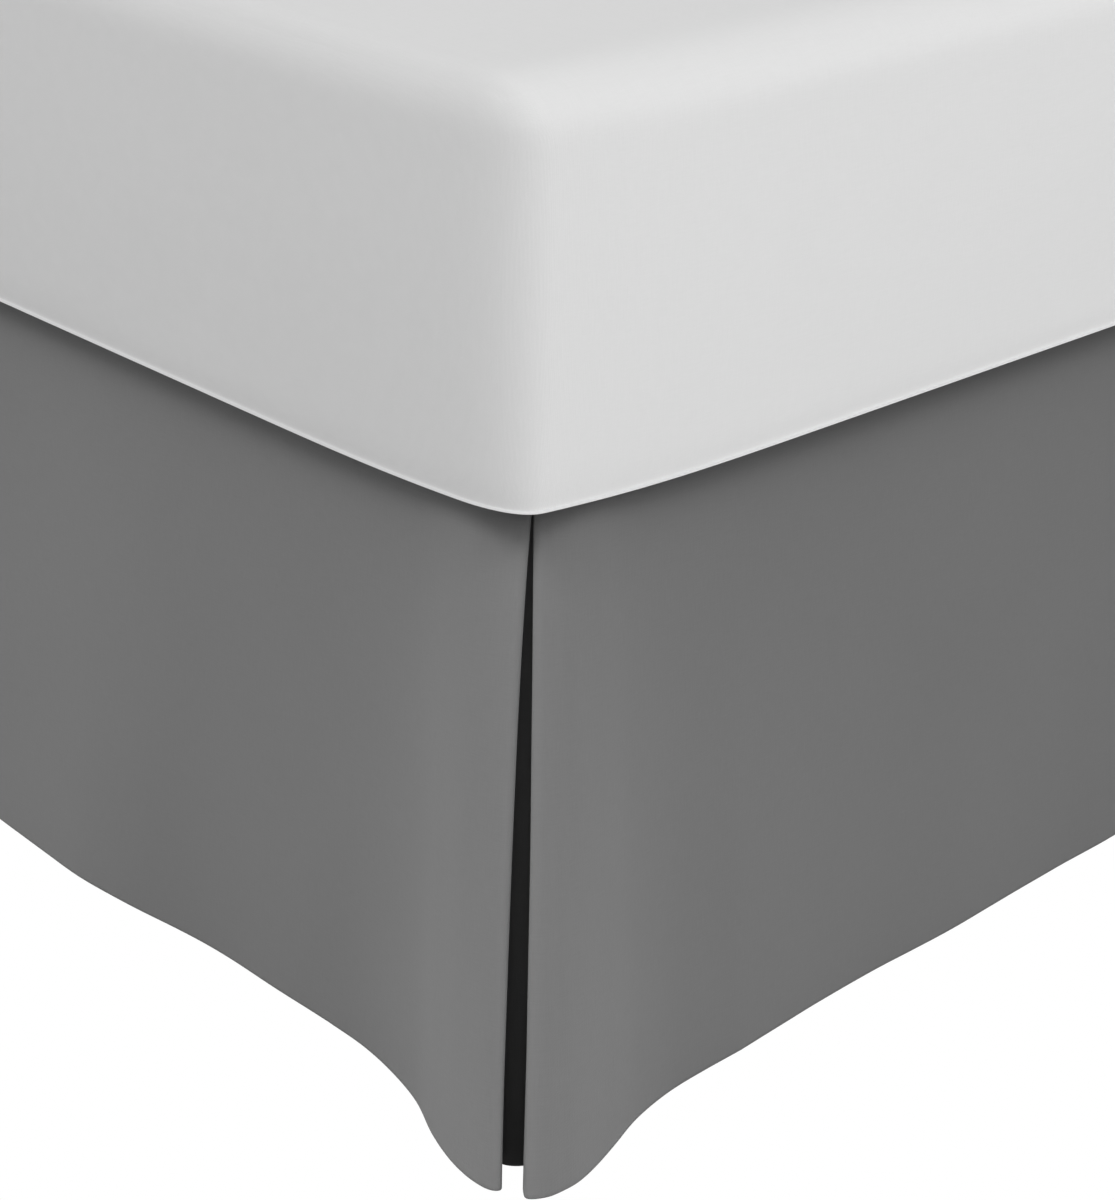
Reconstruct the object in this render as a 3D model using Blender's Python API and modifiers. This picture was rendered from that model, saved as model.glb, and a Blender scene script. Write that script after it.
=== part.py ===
"""A tailored bed skirt with inverted pleats at its foot corners, hung on a queen-size bed.

Metres, +Z up. The origin is on the floor, under the middle of the whole object. The head of
the bed is at +Y and its foot at -Y. The skirt's deck lies between the base and the mattress,
and its three drops hang from the edge of the deck: one across the foot and one down each side.
"""
import math

import bpy
import bmesh
from mathutils import Matrix, Vector

# The bed
MATTRESS_WIDTH = 1.524
MATTRESS_LENGTH = 2.032
MATTRESS_HEIGHT = 0.220
MATTRESS_CORNER = 0.060      # radius of the four upright edges
MATTRESS_SHOULDER = 0.030    # radius of the edge round the top
MATTRESS_UNDERSIDE = 0.002   # radius of the edge round the bottom
SLEEPING_HEIGHT = 0.375      # floor to the underside of the mattress
LEG_HEIGHT = 0.150
LEG_TOP_RADIUS = 0.030
LEG_FOOT_RADIUS = 0.022
LEG_INSET = 0.110            # leg's middle from the base's long side
LEG_END_INSET = 0.150        # leg's middle from the base's short side
LEG_SIDES = 20

# The skirt
OVERHANG = 0.015             # the mattress's side stands this far out over the drops
CLOTH = 0.0015               # thickness of a drop or an insert
DECK = 0.0012                # thickness of the deck
TOUCH = 0.0003               # gap between pieces that meet
BASE_CLEARANCE = 0.0105      # from the drops' outer face in to the base
CORNER_RADIUS = 0.056        # of the deck, and of the drops along their top edge
HEM_CLEARANCE = 0.005        # floor to the hem where it hangs straight
HEM_RISE = 0.5               # share of the lift that a flared hem would have in stiff cloth
ROWS = 8                     # rows of faces from the top edge to the hem
BODY_STEP = 0.034            # width of a face along the plain stretch of a drop
BODY_LEAN = 1.2              # how late the plain stretch swings out: see the pleat tables

# Depth in from the outer face of the drops, at the top edge, to the middle of each layer
FRONT_LAYER = CLOTH / 2
RETURN_LAYER = FRONT_LAYER + 0.0032
SEAM_LAYER = RETURN_LAYER + CLOTH + TOUCH
INSERT_LAYER = SEAM_LAYER + 0.0008

# The flare reaches further out at the foot than anything does at the head, so the bed is
# moved towards the head by half of that, to put the whole object's middle over the origin.
FOOT_FLARE = 0.0485
BED_SHIFT = (FOOT_FLARE - OVERHANG) / 2

SKIRT_SIDE = MATTRESS_WIDTH / 2 - OVERHANG      # outer face of a side drop, from the middle
SKIRT_FOOT = MATTRESS_LENGTH / 2 - OVERHANG     # outer face of the foot drop, from the middle
SKIRT_HEAD = MATTRESS_LENGTH / 2 - OVERHANG     # end of the side drops, from the middle
DECK_TOP = SLEEPING_HEIGHT - TOUCH
DECK_BOTTOM = DECK_TOP - DECK
BASE_TOP = DECK_BOTTOM - TOUCH
BASE_BOTTOM = LEG_HEIGHT + TOUCH
CLOTH_TOP = DECK_BOTTOM - TOUCH
FALL = CLOTH_TOP - HEM_CLEARANCE

# A corner pleat is described on a plan with its zero where the outer faces of the foot drop
# and the side drop would cross. "side" is how far a point lies out past the side drop's face,
# and "foot" how far it lies out past the foot drop's face. "top" runs round the corner along
# the top edge, from its middle: minus along the foot, plus along the side. "lean" is 1 where
# the cloth hangs in a straight slope, more where it hangs straight before it swings out. "bow"
# is how far it bows away along the edge on its way down, widest a little above half the fall.
# Rows: top, layer, side and foot at the hem, lean, bow. All lengths in millimetres.
MM = 0.001
BOW_RISE = 0.75
FOOT_FOLD = (
    (-148, "front", -156.0, 3.0, 1.2, 0.0),
    (-120, "front", -124.0, 3.8, 1.2, 0.0),
    (-88, "front", -93.0, 8.4, 1.15, 0.0),
    (-62, "front", -60.0, 17.8, 1.1, -0.2),
    (-41, "front", -30.0, 32.2, 1.05, -0.7),
    (-26, "front", -6.0, 41.4, 1.0, -1.3),
    (-12, "front", 12.0, 45.8, 1.0, -2.0),
    (-3, "front", 25.4, 47.0, 1.0, -2.6),
    (2.0, "front", 33.2, 45.8, 1.0, -2.8),
    (4.0, "fold", 36.5, 42.4, 1.0, -2.8),
    (2.0, "return", 33.4, 38.8, 1.0, -2.7),
    (-4, "return", 25.2, 35.4, 1.0, -2.3),
    (-20, "return", 8.6, 29.4, 1.0, -1.2),
    (-40, "return", -12.0, 21.5, 1.0, -0.4),
    (-58, "return", -30.0, 13.8, 1.0, 0.0),
    (-72, "return", -44.0, 7.0, 1.0, 0.0),
)
SIDE_FOLD = (
    (148, "front", 24.0, -156.0, 1.2, 0.0),
    (120, "front", 24.8, -124.0, 1.2, 0.0),
    (88, "front", 27.0, -93.0, 1.15, 0.0),
    (62, "front", 33.8, -62.0, 1.1, 0.0),
    (41, "front", 44.6, -34.0, 1.05, 0.1),
    (26, "front", 52.8, -12.0, 1.0, 0.2),
    (16, "front", 57.6, 4.4, 1.0, 0.2),
    (10.5, "front", 59.2, 15.8, 1.0, 0.3),
    (7.6, "front", 58.4, 27.2, 1.0, 0.3),
    (5.8, "fold", 53.4, 36.0, 1.0, 0.3),
    (7.6, "return", 48.2, 34.2, 1.0, 0.3),
    (12, "return", 39.2, 26.2, 1.0, 0.3),
    (22, "return", 33.0, 11.0, 1.0, 0.2),
    (40, "return", 27.0, -12.0, 1.0, 0.1),
    (58, "return", 18.0, -30.0, 1.0, 0.0),
    (72, "return", 10.0, -44.0, 1.0, 0.0),
)
INSERT = (
    (-72, "seam", -44.0, 4.2, 1.0, 0.0),
    (-58, "insert", -30.0, 9.6, 1.0, 0.0),
    (-40, "insert", -12.0, 16.0, 1.0, 0.0),
    (-22, "insert", 5.0, 22.2, 1.0, 0.0),
    (-8, "insert", 17.0, 23.6, 1.0, 0.0),
    (2, "insert", 24.5, 18.6, 1.0, 0.0),
    (9, "insert", 27.5, 11.0, 1.0, 0.0),
    (22, "insert", 25.6, 0.0, 1.0, 0.0),
    (40, "insert", 19.0, -15.0, 1.0, 0.0),
    (58, "insert", 12.0, -31.0, 1.0, 0.0),
    (72, "seam", 6.2, -44.0, 1.0, 0.0),
)

# How far the hem stands out along a drop. Rows: distance from the corner, out, in millimetres.
FOOT_HEM = (
    (156, 3.0), (210, 3.5), (275, 4.0), (336, 11.0), (385, 14.6), (432, 13.0), (488, 10.0),
    (560, 5.0), (640, 4.0), (720, 9.0), (790, 12.5), (860, 10.0), (935, 4.0), (1010, 5.0),
    (1085, 11.5), (1160, 12.0), (1235, 6.0), (1338, 3.0),
)
SIDE_HEM = (
    (156, 24.0), (225, 19.0), (285, 16.8), (345, 17.0), (397, 15.0), (461, 12.0), (526, 10.0),
    (610, 6.0), (720, 11.0), (820, 15.0), (920, 9.0), (1020, 5.0), (1130, 11.0), (1240, 14.5),
    (1350, 8.0), (1460, 5.0), (1570, 12.0), (1680, 13.5), (1790, 7.0), (1890, 8.0), (2002, 13.0),
)

LAYER_DEPTH = {
    "front": FRONT_LAYER,
    "fold": (FRONT_LAYER + RETURN_LAYER) / 2,
    "return": RETURN_LAYER,
    "seam": SEAM_LAYER,
    "insert": INSERT_LAYER,
}


def material(name, colour, roughness):
    """A plain Principled material."""
    made = bpy.data.materials.new(name)
    made.use_nodes = True
    shader = made.node_tree.nodes["Principled BSDF"]
    shader.inputs["Base Color"].default_value = (*colour, 1.0)
    shader.inputs["Roughness"].default_value = roughness
    shader.inputs["Metallic"].default_value = 0.0
    return made


def add_object(name, mesh_source, finish, collection):
    """Turn a bmesh into a named object in the collection."""
    mesh = bpy.data.meshes.new(name)
    bmesh.ops.recalc_face_normals(mesh_source, faces=mesh_source.faces)
    mesh_source.to_mesh(mesh)
    mesh_source.free()
    mesh.materials.append(finish)
    made = bpy.data.objects.new(name, mesh)
    collection.objects.link(made)
    return made


def smooth_curve(points, parts):
    """Points on a Catmull-Rom curve through the given ones, each gap cut in so many parts."""
    padded = [points[0] * 2 - points[1], *points, points[-1] * 2 - points[-2]]
    curve = []
    for before, start, end, after in zip(padded, padded[1:], padded[2:], padded[3:]):
        for part in range(parts):
            u = part / parts
            curve.append((start * 2
                          + (end - before) * u
                          + (before * 2 - start * 5 + end * 4 - after) * u ** 2
                          + (start * 3 - before - end * 3 + after) * u ** 3) / 2)
    return [*curve, points[-1]]


def top_edge(along, depth):
    """Side and foot places of a point on the top edge, this deep in from the outer face."""
    half_arc = CORNER_RADIUS * math.pi / 4
    turned = max(-half_arc, min(half_arc, along))
    angle = math.pi / 4 + turned / CORNER_RADIUS
    straight = abs(along) - abs(turned)
    reach = CORNER_RADIUS - depth
    side = reach * math.sin(angle) - CORNER_RADIUS - (straight if along < 0 else 0)
    foot = reach * math.cos(angle) - CORNER_RADIUS - (straight if along > 0 else 0)
    return side, foot


def corner_columns(table, parts=2):
    """Columns of a pleat: side and foot at the top, side and foot at the hem, lean, bow."""
    stations = []
    for top, layer, side, foot, lean, bow in table:
        top_side, top_foot = top_edge(top * MM, LAYER_DEPTH[layer])
        stations.append(Vector((top_side, top_foot, side * MM, foot * MM, lean, bow * MM)))
    return smooth_curve(stations, parts)


def hem_out(table, distance):
    """How far the hem stands out at this distance from the corner."""
    for (start, start_out), (end, end_out) in zip(table, table[1:]):
        if distance <= end * MM:
            share = (distance / MM - start) / (end - start)
            eased = (1 - math.cos(math.pi * share)) / 2
            return (start_out + (end_out - start_out) * eased) * MM
    return table[-1][1] * MM


def body_columns(table, run_end):
    """Columns along the plain stretch of a drop, from past the pleat to run_end."""
    start = table[0][0] * MM
    count = round((run_end - start) / BODY_STEP)
    columns = []
    for step in range(1, count + 1):
        distance = start + (run_end - start) * step / count
        columns.append((distance, hem_out(table, distance)))
    return columns


def place(column, mirror):
    """A corner column's top, hem, lean and bow in the world; mirror is -1 on the left."""
    top_side, top_foot, hem_side, hem_foot, lean, bow = column
    foot_line = BED_SHIFT - SKIRT_FOOT
    top = Vector((mirror * (SKIRT_SIDE + top_side), foot_line - top_foot, 0.0))
    hem = Vector((mirror * (SKIRT_SIDE + hem_side), foot_line - hem_foot, 0.0))
    return top, hem, lean, Vector((mirror, 1.0, 0.0)).normalized() * bow


def hung_cloth(name, columns, finish, collection):
    """A closed sheet that hangs from its top edge; a column is its top, hem, lean and bow."""
    sheet = bmesh.new()
    bmesh.ops.create_grid(sheet, x_segments=len(columns) - 1, y_segments=ROWS, size=1.0)
    for point in sheet.verts:
        top, hem, lean, bow = columns[round((point.co.x + 1) / 2 * (len(columns) - 1))]
        fallen = (1 - point.co.y) / 2
        drift = (hem - top).length
        lift = HEM_RISE * (FALL - math.sqrt(FALL ** 2 - drift ** 2))
        point.co = top.lerp(hem, fallen ** lean) + bow * math.sin(math.pi * fallen ** BOW_RISE)
        point.co.z = CLOTH_TOP - fallen * (FALL - lift)
    made = add_object(name, sheet, finish, collection)
    made.data.shade_smooth()
    wall = made.modifiers.new("cloth thickness", "SOLIDIFY")
    wall.thickness = CLOTH
    wall.offset = 0.0
    return made


def rounded_box(name, low, high, upright, top, bottom, finish, collection, foot_only=False):
    """A box with its upright edges, or those at the foot alone, and its rims rounded."""
    box = bmesh.new()
    bmesh.ops.create_cube(box, size=1.0)
    size = [b - a for a, b in zip(low, high)]
    middle = [(a + b) / 2 for a, b in zip(low, high)]
    placed = Matrix.Translation(middle) @ Matrix.Diagonal((*size, 1.0))
    bmesh.ops.transform(box, verts=box.verts, matrix=placed)
    edges = [e for e in box.edges if abs(e.verts[0].co.z - e.verts[1].co.z) > size[2] / 2
             and not (foot_only and e.verts[0].co.y > middle[1])]
    bmesh.ops.bevel(box, geom=edges, offset=upright, segments=6, profile=0.5, affect="EDGES")
    for height, radius, segments in ((high[2], top, 5), (low[2], bottom, 2)):
        rim = [e for e in box.edges if all(abs(v.co.z - height) < 1e-6 for v in e.verts)]
        if radius:
            bmesh.ops.bevel(box, geom=rim, offset=radius, segments=segments, profile=0.5,
                            affect="EDGES")
    made = add_object(name, box, finish, collection)
    made.data.shade_smooth()
    made.data.set_sharp_from_angle(angle=math.radians(40))
    return made


def leg(name, x, y, finish, collection):
    """A plain tapered leg that stands on the floor under the base."""
    cone = bmesh.new()
    bmesh.ops.create_cone(cone, cap_ends=True, segments=LEG_SIDES, radius1=LEG_FOOT_RADIUS,
                          radius2=LEG_TOP_RADIUS, depth=LEG_HEIGHT)
    made = add_object(name, cone, finish, collection)
    made.location = (x, y, LEG_HEIGHT / 2)
    made.data.shade_smooth()
    made.data.set_sharp_from_angle(angle=math.radians(40))
    return made


def foot_columns():
    """The foot drop, from the right return round the right fold, across, to the left return."""
    right = [place(column, 1) for column in corner_columns(FOOT_FOLD)]
    left = [place(column, -1) for column in corner_columns(FOOT_FOLD)]
    foot_line = BED_SHIFT - SKIRT_FOOT
    across = []
    for distance, out in body_columns(FOOT_HEM, 2 * SKIRT_SIDE - FOOT_HEM[0][0] * MM)[:-1]:
        x = SKIRT_SIDE - distance
        across.append((Vector((x, foot_line + FRONT_LAYER, 0)),
                       Vector((x, foot_line - out, 0)), BODY_LEAN, Vector()))
    return [*reversed(right), *across, *left]


def side_columns(mirror):
    """A side drop, from its return round its fold and along the bed to the head."""
    corner = [place(column, mirror) for column in corner_columns(SIDE_FOLD)]
    foot_line = BED_SHIFT - SKIRT_FOOT
    along = []
    for distance, out in body_columns(SIDE_HEM, SKIRT_FOOT + SKIRT_HEAD):
        y = foot_line + distance
        along.append((Vector((mirror * (SKIRT_SIDE - FRONT_LAYER), y, 0)),
                      Vector((mirror * (SKIRT_SIDE + out), y, 0)), BODY_LEAN, Vector()))
    return [*reversed(corner), *along]


for leftover in list(bpy.data.objects):
    bpy.data.objects.remove(leftover, do_unlink=True)
bed = bpy.data.collections.new("bed skirt on a bed")
bpy.context.scene.collection.children.link(bed)

grey_cloth = material("grey drop cloth", (0.170, 0.170, 0.172), 0.85)
deck_cloth = material("white deck cloth", (0.720, 0.720, 0.715), 0.90)
mattress_cloth = material("pale mattress cloth", (0.640, 0.640, 0.640), 0.80)
base_cloth = material("pale base cloth", (0.560, 0.555, 0.545), 0.90)
leg_wood = material("dark leg wood", (0.060, 0.040, 0.028), 0.45)

hung_cloth("foot_drop", foot_columns(), grey_cloth, bed)
for side_name, side_sign in (("right", 1), ("left", -1)):
    hung_cloth(f"side_drop_{side_name}", side_columns(side_sign), grey_cloth, bed)
    insert_columns = [place(column, side_sign) for column in corner_columns(INSERT)]
    hung_cloth(f"pleat_insert_{side_name}", insert_columns, grey_cloth, bed)

rounded_box("skirt_deck",
            (-SKIRT_SIDE, BED_SHIFT - SKIRT_FOOT, DECK_BOTTOM),
            (SKIRT_SIDE, BED_SHIFT + SKIRT_HEAD, DECK_TOP),
            CORNER_RADIUS, 0, 0, deck_cloth, bed, foot_only=True)
mattress_top = SLEEPING_HEIGHT + MATTRESS_HEIGHT
rounded_box("mattress",
            (-MATTRESS_WIDTH / 2, BED_SHIFT - MATTRESS_LENGTH / 2, SLEEPING_HEIGHT),
            (MATTRESS_WIDTH / 2, BED_SHIFT + MATTRESS_LENGTH / 2, mattress_top),
            MATTRESS_CORNER, MATTRESS_SHOULDER, MATTRESS_UNDERSIDE, mattress_cloth, bed)
base_side = SKIRT_SIDE - BASE_CLEARANCE
base_end = SKIRT_FOOT - BASE_CLEARANCE
rounded_box("bed_base",
            (-base_side, BED_SHIFT - base_end, BASE_BOTTOM),
            (base_side, BED_SHIFT + base_end, BASE_TOP),
            CORNER_RADIUS - BASE_CLEARANCE, 0, 0, base_cloth, bed, foot_only=True)
leg_x = base_side - LEG_INSET
leg_y = base_end - LEG_END_INSET
for side_name, side_sign in (("right", 1), ("left", -1)):
    for row_name, row_place in (("foot", -1), ("middle", 0), ("head", 1)):
        leg(f"leg_{row_name}_{side_name}", side_sign * leg_x, BED_SHIFT + row_place * leg_y,
            leg_wood, bed)
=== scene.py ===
# A tailored grey bed skirt with an inverted pleat at each foot corner, on a queen-size bed.
# Metres, +Z up. The foot of the bed is at -Y and its head at +Y. The sections run in the
# order the bed is put together: legs, base, the skirt's deck, drops and pleats, mattress.
import math
import bpy
from mathutils import Matrix, Vector, noise


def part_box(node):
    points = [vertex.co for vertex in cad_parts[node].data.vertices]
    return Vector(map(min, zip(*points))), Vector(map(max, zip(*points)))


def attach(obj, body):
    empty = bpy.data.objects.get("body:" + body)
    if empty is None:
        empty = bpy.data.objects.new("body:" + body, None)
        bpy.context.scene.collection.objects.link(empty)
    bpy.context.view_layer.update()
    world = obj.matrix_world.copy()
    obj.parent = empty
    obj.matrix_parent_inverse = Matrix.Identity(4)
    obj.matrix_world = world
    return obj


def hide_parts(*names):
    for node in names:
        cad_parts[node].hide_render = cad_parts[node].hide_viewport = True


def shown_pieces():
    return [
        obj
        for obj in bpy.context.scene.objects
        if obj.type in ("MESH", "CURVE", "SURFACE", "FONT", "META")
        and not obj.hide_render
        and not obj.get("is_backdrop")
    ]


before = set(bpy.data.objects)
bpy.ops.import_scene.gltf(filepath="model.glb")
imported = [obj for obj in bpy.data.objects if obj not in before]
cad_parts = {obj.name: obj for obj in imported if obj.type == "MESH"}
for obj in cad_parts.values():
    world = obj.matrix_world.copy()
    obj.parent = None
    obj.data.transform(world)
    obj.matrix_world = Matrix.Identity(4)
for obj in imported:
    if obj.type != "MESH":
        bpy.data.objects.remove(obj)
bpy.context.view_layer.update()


# The camera stands about 1.4 m out from the mattress's foot corner at the right and 0.96 m up.
# It looks down on the corner through a 90 mm lens and is held about a degree out of level.
CAMERA_PLACE = (1.75632, -1.91965, 0.96285)
CAMERA_AZIMUTH = math.radians(46.404)
CAMERA_PITCH = math.radians(24.703)
CAMERA_ROLL = math.radians(1.194)
CAMERA_LENS = 90.0
CAMERA_SENSOR = 36.0
CAMERA_NEAR = 0.05

camera_turn = (Matrix.Rotation(CAMERA_AZIMUTH, 3, "Z")
               @ Matrix.Rotation(math.pi / 2 - CAMERA_PITCH, 3, "X")
               @ Matrix.Rotation(CAMERA_ROLL, 3, "Z"))
bpy.ops.object.select_all(action="DESELECT")
bpy.ops.object.camera_add(location=CAMERA_PLACE, rotation=camera_turn.to_euler())
camera = bpy.context.object
camera.name = "camera"
camera.data.lens = CAMERA_LENS
camera.data.sensor_width = CAMERA_SENSOR
camera.data.clip_start = CAMERA_NEAR
bpy.context.scene.camera = camera


# Six legs of dark-stained beech screw up into the base's rails. Each is turned with a straight
# taper, a bead under its shoulder and an eased foot, and stands on a disc of grey felt. A
# short neck runs up through the dust cover to the rail.
LEG_SIDES = 64
LEG_FELT_HEIGHT = 0.0030
LEG_SMOOTH_UNDER = math.radians(35)
LEG_TURNING = (          # height and radius, from the floor up
    (0.0000, 0.0196), (0.0006, 0.0202), (0.0030, 0.0202), (0.0031, 0.0208), (0.0042, 0.0219),
    (0.0058, 0.0222), (0.0400, 0.0240), (0.0800, 0.0261), (0.1225, 0.0284), (0.1244, 0.0281),
    (0.1258, 0.0275), (0.1272, 0.0275), (0.1286, 0.0281), (0.1298, 0.0288), (0.1314, 0.0294),
    (0.1332, 0.0296), (0.1350, 0.0294), (0.1366, 0.0288), (0.1376, 0.0286), (0.1390, 0.0288),
    (0.1480, 0.0298), (0.1492, 0.0297), (0.1498, 0.0291), (0.1499, 0.0120), (0.1515, 0.0120),
)
LEG_WOOD_LIGHT = (0.075, 0.040, 0.022, 1.0)
LEG_WOOD_DARK = (0.030, 0.016, 0.010, 1.0)
LEG_WOOD_ROUGHNESS = 0.42
LEG_GRAIN_SCALE = (160.0, 160.0, 7.0)   # finer across the leg than along it
LEG_GRAIN_TONES = ((0.34, LEG_WOOD_DARK), (0.68, LEG_WOOD_LIGHT))
LEG_GRAIN_HEIGHT = 0.0004
LEG_VARNISH = 0.25
LEG_VARNISH_ROUGHNESS = 0.30
FELT_COLOUR = (0.130, 0.128, 0.125, 1.0)
FELT_ROUGHNESS = 0.95
FELT_FIBRES = 900.0


def new_material(name, roughness):
    """A material with its Principled shader, its nodes and its links."""
    made = bpy.data.materials.new(name)
    made.use_nodes = True
    shader = made.node_tree.nodes["Principled BSDF"]
    shader.inputs["Roughness"].default_value = roughness
    return made, shader, made.node_tree.nodes, made.node_tree.links


def finish_piece(piece, slot_name, *nodes):
    """Settle a finished piece on the bed, in place of these CAD nodes."""
    bpy.ops.object.select_all(action="DESELECT")
    piece.select_set(True)
    bpy.context.view_layer.objects.active = piece
    bpy.ops.object.transform_apply(location=True, rotation=True, scale=True)
    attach(piece, "root")
    if nodes:
        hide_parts(*nodes)


leg_wood, wood_shader, wood_nodes, wood_links = new_material("stained beech",
                                                             LEG_WOOD_ROUGHNESS)
wood_place = wood_nodes.new("ShaderNodeTexCoord")
wood_stretch = wood_nodes.new("ShaderNodeMapping")
wood_stretch.inputs["Scale"].default_value = LEG_GRAIN_SCALE
wood_grain = wood_nodes.new("ShaderNodeTexNoise")
wood_grain.inputs["Scale"].default_value = 1.0
wood_grain.inputs["Detail"].default_value = 5.0
wood_grain.inputs["Distortion"].default_value = 0.6
wood_tone = wood_nodes.new("ShaderNodeValToRGB")
for stop, (place, tone) in zip(wood_tone.color_ramp.elements, LEG_GRAIN_TONES):
    stop.position = place
    stop.color = tone
wood_relief = wood_nodes.new("ShaderNodeBump")
wood_relief.inputs["Strength"].default_value = 0.25
wood_relief.inputs["Distance"].default_value = LEG_GRAIN_HEIGHT
wood_links.new(wood_place.outputs["Object"], wood_stretch.inputs["Vector"])
wood_links.new(wood_stretch.outputs["Vector"], wood_grain.inputs["Vector"])
wood_links.new(wood_grain.outputs["Fac"], wood_tone.inputs["Fac"])
wood_links.new(wood_tone.outputs["Color"], wood_shader.inputs["Base Color"])
wood_links.new(wood_grain.outputs["Fac"], wood_relief.inputs["Height"])
wood_links.new(wood_relief.outputs["Normal"], wood_shader.inputs["Normal"])
wood_shader.inputs["Coat Weight"].default_value = LEG_VARNISH
wood_shader.inputs["Coat Roughness"].default_value = LEG_VARNISH_ROUGHNESS

leg_felt, felt_shader, felt_nodes, felt_links = new_material("grey felt", FELT_ROUGHNESS)
felt_place = felt_nodes.new("ShaderNodeTexCoord")
felt_fibres = felt_nodes.new("ShaderNodeTexNoise")
felt_fibres.inputs["Scale"].default_value = FELT_FIBRES
felt_fibres.inputs["Detail"].default_value = 3.0
felt_tone = felt_nodes.new("ShaderNodeMixRGB")
felt_tone.blend_type = "MULTIPLY"
felt_tone.inputs["Fac"].default_value = 0.5
felt_tone.inputs["Color1"].default_value = FELT_COLOUR
felt_links.new(felt_place.outputs["Object"], felt_fibres.inputs["Vector"])
felt_links.new(felt_fibres.outputs["Fac"], felt_tone.inputs["Color2"])
felt_links.new(felt_tone.outputs["Color"], felt_shader.inputs["Base Color"])

leg_rows = [(row, hand) for hand in ("right", "left") for row in ("foot", "middle", "head")]
turned_leg = None
for row, hand in leg_rows:
    leg_node = f"leg_{row}_{hand}"
    leg_low, leg_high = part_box(leg_node)
    leg_middle = (leg_low + leg_high) / 2
    bpy.ops.object.select_all(action="DESELECT")
    if turned_leg is None:
        bpy.ops.mesh.primitive_circle_add(vertices=LEG_SIDES, radius=LEG_TURNING[0][1],
                                          fill_type="NGON",
                                          location=(leg_middle.x, leg_middle.y, leg_low.z))
        turned_leg = bpy.context.object
        turned_from = leg_middle.copy()
        bpy.ops.object.mode_set(mode="EDIT")
        for (low, inner), (high, outer) in zip(LEG_TURNING, LEG_TURNING[1:]):
            bpy.ops.mesh.extrude_region_move(
                TRANSFORM_OT_translate={"value": (0.0, 0.0, high - low)})
            growth = outer / inner
            bpy.ops.transform.resize(value=(growth, growth, 1.0),
                                     center_override=(leg_middle.x, leg_middle.y, high))
        bpy.ops.mesh.select_all(action="SELECT")
        bpy.ops.mesh.normals_make_consistent(inside=False)
        bpy.ops.object.mode_set(mode="OBJECT")
        bpy.ops.object.shade_smooth_by_angle(angle=LEG_SMOOTH_UNDER)
        turned_leg.data.materials.append(leg_wood)
        turned_leg.data.materials.append(leg_felt)
        for face in turned_leg.data.polygons:
            face.material_index = 1 if face.center.z < LEG_FELT_HEIGHT else 0
        leg_piece = turned_leg
    else:
        turned_leg.select_set(True)
        bpy.context.view_layer.objects.active = turned_leg
        bpy.ops.object.duplicate(linked=False)
        leg_piece = bpy.context.object
        leg_piece.parent = None
        leg_piece.location = (leg_middle.x - turned_from.x, leg_middle.y - turned_from.y, 0.0)
    leg_piece.name = f"turned_leg_{row}_{hand}"
    finish_piece(leg_piece, "leg_wood", leg_node)


# The base is a box spring on a softwood frame, covered in off-white woven cloth. A welt of the
# same cloth runs round its top and bottom edges, and a dark dust cover is stapled underneath.
BASE_COLOUR = (0.560, 0.550, 0.530, 1.0)
BASE_CORNER = 0.0455          # how far the upright edges at the foot are rounded
BASE_CORNER_STEPS = 10
BASE_RIM = 0.0060
BASE_RIM_STEPS = 5
BASE_WELT = 0.0020
BASE_WELT_STEPS = 3
BASE_SMOOTH_UNDER = math.radians(40)
DUST_COVER_MARGIN = 0.022
DUST_COVER_EDGE = 0.0010
DUST_COVER_LIFT = 0.0015
DUST_COVER_COLOUR = (0.020, 0.020, 0.021, 1.0)
DUST_COVER_LIGHT = (0.034, 0.034, 0.035, 1.0)
DUST_COVER_ROUGHNESS = 0.95
DUST_COVER_DIMPLES = 700.0
THREAD_HEIGHT = 0.0002
SLUB_LONG, SLUB_SHORT = 90.0, 1500.0    # noise per metre along a slub and across it
MOTTLE_SCALE = 7.0
NEAR = 1e-5                   # points nearer than this to a plane lie on it


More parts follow.
